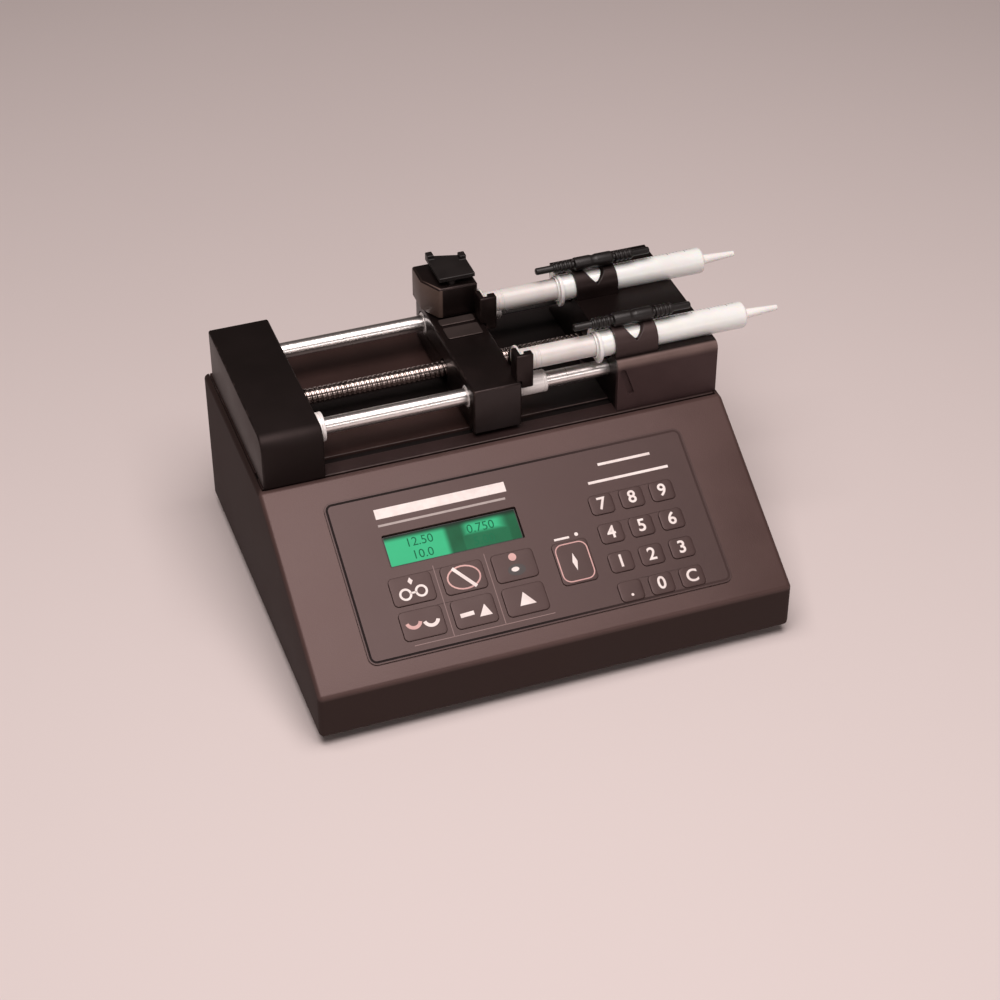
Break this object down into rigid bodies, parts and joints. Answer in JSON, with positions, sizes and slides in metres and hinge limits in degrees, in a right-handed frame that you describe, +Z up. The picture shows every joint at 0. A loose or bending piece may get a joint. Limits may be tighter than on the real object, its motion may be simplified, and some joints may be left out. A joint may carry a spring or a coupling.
{
  "type": "syringe pump",
  "caption": "Bench syringe pump: wedge case with a sloped key panel and display, a screw-driven pusher on guide rods, and a clamped pair of syringes.",
  "frame": {"origin": "middle of the object's footprint, on the surface it stands on", "axes": "+X towards the syringe tips, +Y to the back, +Z up"},
  "size_m": [0.3222, 0.23, 0.1566],
  "materials": {
    "case": "satin grey-brown moulding with rounded edges",
    "bed": "dark satin paint on plate",
    "rubber": "matt black",
    "black_block": "black satin",
    "brown_block": "satin grey-brown paint",
    "black_plastic": "black moulding",
    "polished_steel": "ground and polished",
    "bright_metal": "bright turned metal",
    "brass": "turned",
    "strap": "grey-brown moulding",
    "syringe_plastic": "milky clear polypropylene",
    "plunger_plastic": "white polyethylene",
    "overlay": "printed satin sheet",
    "key": "embossed satin sheet with pale marks",
    "lcd": "green backlit display glass",
    "board": "green circuit board",
    "motor": "laminated and painted steel"
  },
  "bodies": {
    "base": {"case_cover": "case", "base_plate": "bed", "rear_panel": "bed", "foot_front_left": "rubber", "foot_front_right": "rubber", "foot_rear_left": "rubber", "foot_rear_right": "rubber", "bed_plate": "bed", "drive_housing": "black_block", "syringe_holder": "brown_block", "rear_guide_rod": "polished_steel", "front_guide_rod": "polished_steel", "front_rod_collar": "bright_metal", "screw_bearing": "brass", "timing_belt": "rubber", "step_motor": "motor", "main_board": "board", "lcd_module": "lcd", "panel_overlay": "overlay", "power_transformer": "motor", "mains_inlet": "black_plastic", "front_barrel": "syringe_plastic", "rear_barrel": "syringe_plastic"},
    "pusher": {"pusher_block": "black_block", "release_housing": "black_block", "front_bush": "bright_metal", "rear_bush": "bright_metal", "front_plunger_retainer": "black_block", "rear_plunger_retainer": "black_block", "front_plunger": "plunger_plastic", "rear_plunger": "plunger_plastic"},
    "release": {"release_button": "black_plastic", "half_nut": "brass"},
    "screw": {"lead_screw": "polished_steel", "screw_pulley": "bright_metal"},
    "motor_rotor": {"motor_pulley": "bright_metal"},
    "front_clamp": {"front_clamp_strap": "strap", "front_clamp_handle": "black_plastic"},
    "rear_clamp": {"rear_clamp_strap": "strap", "rear_clamp_handle": "black_plastic"},
    "rocker": {"power_rocker": "black_plastic"},
    "key_7": {"key_7": "key"},
    "key_8": {"key_8": "key"},
    "key_9": {"key_9": "key"},
    "key_4": {"key_4": "key"},
    "key_5": {"key_5": "key"},
    "key_6": {"key_6": "key"},
    "key_1": {"key_1": "key"},
    "key_2": {"key_2": "key"},
    "key_3": {"key_3": "key"},
    "key_point": {"key_point": "key"},
    "key_0": {"key_0": "key"},
    "key_clear": {"key_clear": "key"},
    "key_mode": {"key_mode": "key"},
    "key_diameter": {"key_diameter": "key"},
    "key_rate": {"key_rate": "key"},
    "key_volume": {"key_volume": "key"},
    "key_enter": {"key_enter": "key"},
    "key_refill": {"key_refill": "key"},
    "key_run": {"key_run": "key"}
  },
  "joints": [
    {"name": "pusher_slide", "type": "slide", "parent": "base", "child": "pusher", "axis": [1, 0, 0], "range_m": [-0.054, 0.031]},
    {"name": "screw_spin", "type": "hinge", "parent": "base", "child": "screw", "pos_m": [-0.14088, 0.055, 0.109], "axis": [1, 0, 0], "range_deg": [-3725, 6485]},
    {"name": "motor_spin", "type": "hinge", "parent": "base", "child": "motor_rotor", "pos_m": [-0.14088, 0.055, 0.0707], "axis": [1, 0, 0], "range_deg": [-5586, 9726]},
    {"name": "release_press", "type": "slide", "parent": "pusher", "child": "release", "axis": [0, 0, -1], "range_m": [0, 0.0025], "stiffness_N_per_m": 900, "springref_m": -0.002},
    {"name": "front_clamp_lift", "type": "slide", "parent": "base", "child": "front_clamp", "axis": [0, 0, 1], "range_m": [0, 0.014], "stiffness_N_per_m": 300, "springref_m": -0.004},
    {"name": "rear_clamp_lift", "type": "slide", "parent": "base", "child": "rear_clamp", "axis": [0, 0, 1], "range_m": [0, 0.014], "stiffness_N_per_m": 300, "springref_m": -0.004},
    {"name": "rocker_tilt", "type": "hinge", "parent": "base", "child": "rocker", "pos_m": [0.02892, 0.1095, 0.036], "axis": [1, 0, 0], "range_deg": [0, 16]},
    {"name": "key_7_press", "type": "slide", "parent": "base", "child": "key_7", "axis": [0, 0.4922, -0.8705], "range_m": [0, 0.0006], "stiffness_N_per_m": 1500, "springref_m": -0.0003},
    {"name": "key_8_press", "type": "slide", "parent": "base", "child": "key_8", "axis": [0, 0.4922, -0.8705], "range_m": [0, 0.0006], "stiffness_N_per_m": 1500, "springref_m": -0.0003},
    {"name": "key_9_press", "type": "slide", "parent": "base", "child": "key_9", "axis": [0, 0.4922, -0.8705], "range_m": [0, 0.0006], "stiffness_N_per_m": 1500, "springref_m": -0.0003},
    {"name": "key_4_press", "type": "slide", "parent": "base", "child": "key_4", "axis": [0, 0.4922, -0.8705], "range_m": [0, 0.0006], "stiffness_N_per_m": 1500, "springref_m": -0.0003},
    {"name": "key_5_press", "type": "slide", "parent": "base", "child": "key_5", "axis": [0, 0.4922, -0.8705], "range_m": [0, 0.0006], "stiffness_N_per_m": 1500, "springref_m": -0.0003},
    {"name": "key_6_press", "type": "slide", "parent": "base", "child": "key_6", "axis": [0, 0.4922, -0.8705], "range_m": [0, 0.0006], "stiffness_N_per_m": 1500, "springref_m": -0.0003},
    {"name": "key_1_press", "type": "slide", "parent": "base", "child": "key_1", "axis": [0, 0.4922, -0.8705], "range_m": [0, 0.0006], "stiffness_N_per_m": 1500, "springref_m": -0.0003},
    {"name": "key_2_press", "type": "slide", "parent": "base", "child": "key_2", "axis": [0, 0.4922, -0.8705], "range_m": [0, 0.0006], "stiffness_N_per_m": 1500, "springref_m": -0.0003},
    {"name": "key_3_press", "type": "slide", "parent": "base", "child": "key_3", "axis": [0, 0.4922, -0.8705], "range_m": [0, 0.0006], "stiffness_N_per_m": 1500, "springref_m": -0.0003},
    {"name": "key_point_press", "type": "slide", "parent": "base", "child": "key_point", "axis": [0, 0.4922, -0.8705], "range_m": [0, 0.0006], "stiffness_N_per_m": 1500, "springref_m": -0.0003},
    {"name": "key_0_press", "type": "slide", "parent": "base", "child": "key_0", "axis": [0, 0.4922, -0.8705], "range_m": [0, 0.0006], "stiffness_N_per_m": 1500, "springref_m": -0.0003},
    {"name": "key_clear_press", "type": "slide", "parent": "base", "child": "key_clear", "axis": [0, 0.4922, -0.8705], "range_m": [0, 0.0006], "stiffness_N_per_m": 1500, "springref_m": -0.0003},
    {"name": "key_mode_press", "type": "slide", "parent": "base", "child": "key_mode", "axis": [0, 0.4922, -0.8705], "range_m": [0, 0.0006], "stiffness_N_per_m": 1500, "springref_m": -0.0003},
    {"name": "key_diameter_press", "type": "slide", "parent": "base", "child": "key_diameter", "axis": [0, 0.4922, -0.8705], "range_m": [0, 0.0006], "stiffness_N_per_m": 1500, "springref_m": -0.0003},
    {"name": "key_rate_press", "type": "slide", "parent": "base", "child": "key_rate", "axis": [0, 0.4922, -0.8705], "range_m": [0, 0.0006], "stiffness_N_per_m": 1500, "springref_m": -0.0003},
    {"name": "key_volume_press", "type": "slide", "parent": "base", "child": "key_volume", "axis": [0, 0.4922, -0.8705], "range_m": [0, 0.0006], "stiffness_N_per_m": 1500, "springref_m": -0.0003},
    {"name": "key_enter_press", "type": "slide", "parent": "base", "child": "key_enter", "axis": [0, 0.4922, -0.8705], "range_m": [0, 0.0006], "stiffness_N_per_m": 1500, "springref_m": -0.0003},
    {"name": "key_refill_press", "type": "slide", "parent": "base", "child": "key_refill", "axis": [0, 0.4922, -0.8705], "range_m": [0, 0.0006], "stiffness_N_per_m": 1500, "springref_m": -0.0003},
    {"name": "key_run_press", "type": "slide", "parent": "base", "child": "key_run", "axis": [0, 0.4922, -0.8705], "range_m": [0, 0.0006], "stiffness_N_per_m": 1500, "springref_m": -0.0003}
  ],
  "couplings": [
    {"joint": "screw_spin", "follows": "pusher_slide", "rad_per_m": -2094.4},
    {"joint": "motor_spin", "follows": "pusher_slide", "rad_per_m": -3141.6}
  ]
}
